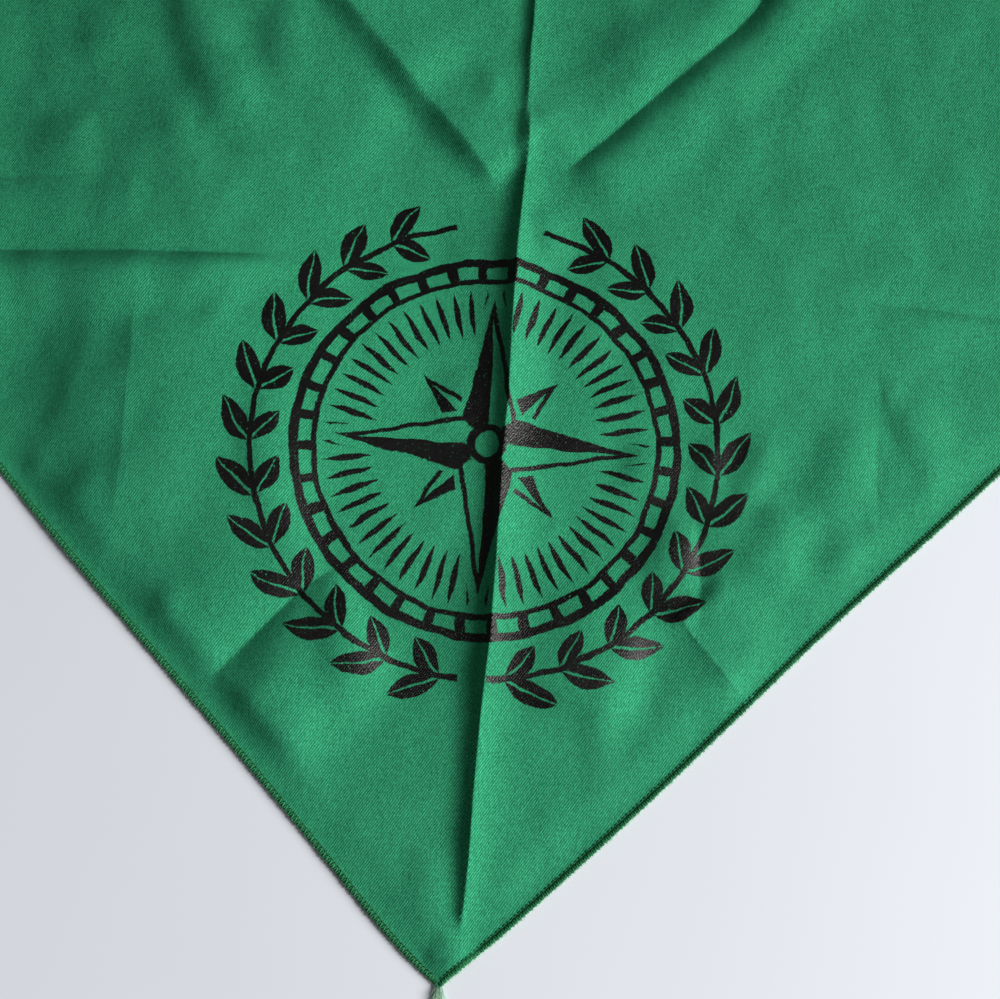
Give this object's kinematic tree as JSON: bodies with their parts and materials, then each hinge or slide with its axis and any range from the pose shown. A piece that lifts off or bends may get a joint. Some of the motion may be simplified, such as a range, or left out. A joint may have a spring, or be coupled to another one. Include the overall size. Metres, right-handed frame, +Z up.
{
  "type": "neckerchief",
  "caption": "Triangular cotton neckerchief lying open on a surface, with overlocked edges, pressed storage folds and a tuft of thread at its square corner.",
  "frame": {"origin": "under the middle of the whole piece, on the surface that it lies on", "axes": "+Z up out of the cloth, +X along the long side, the square corner towards -Y"},
  "size_m": [0.9894, 0.5002, 0.0047],
  "materials": {
    "cotton_twill": "matt green cotton twill with a black printed motif",
    "overlock_thread": "matt green sewing thread"
  },
  "bodies": {
    "root": {"cloth_panel": "cotton_twill", "hem_right": "overlock_thread", "hem_top": "overlock_thread", "hem_left": "overlock_thread", "thread_tuft": "overlock_thread"}
  },
  "joints": []
}
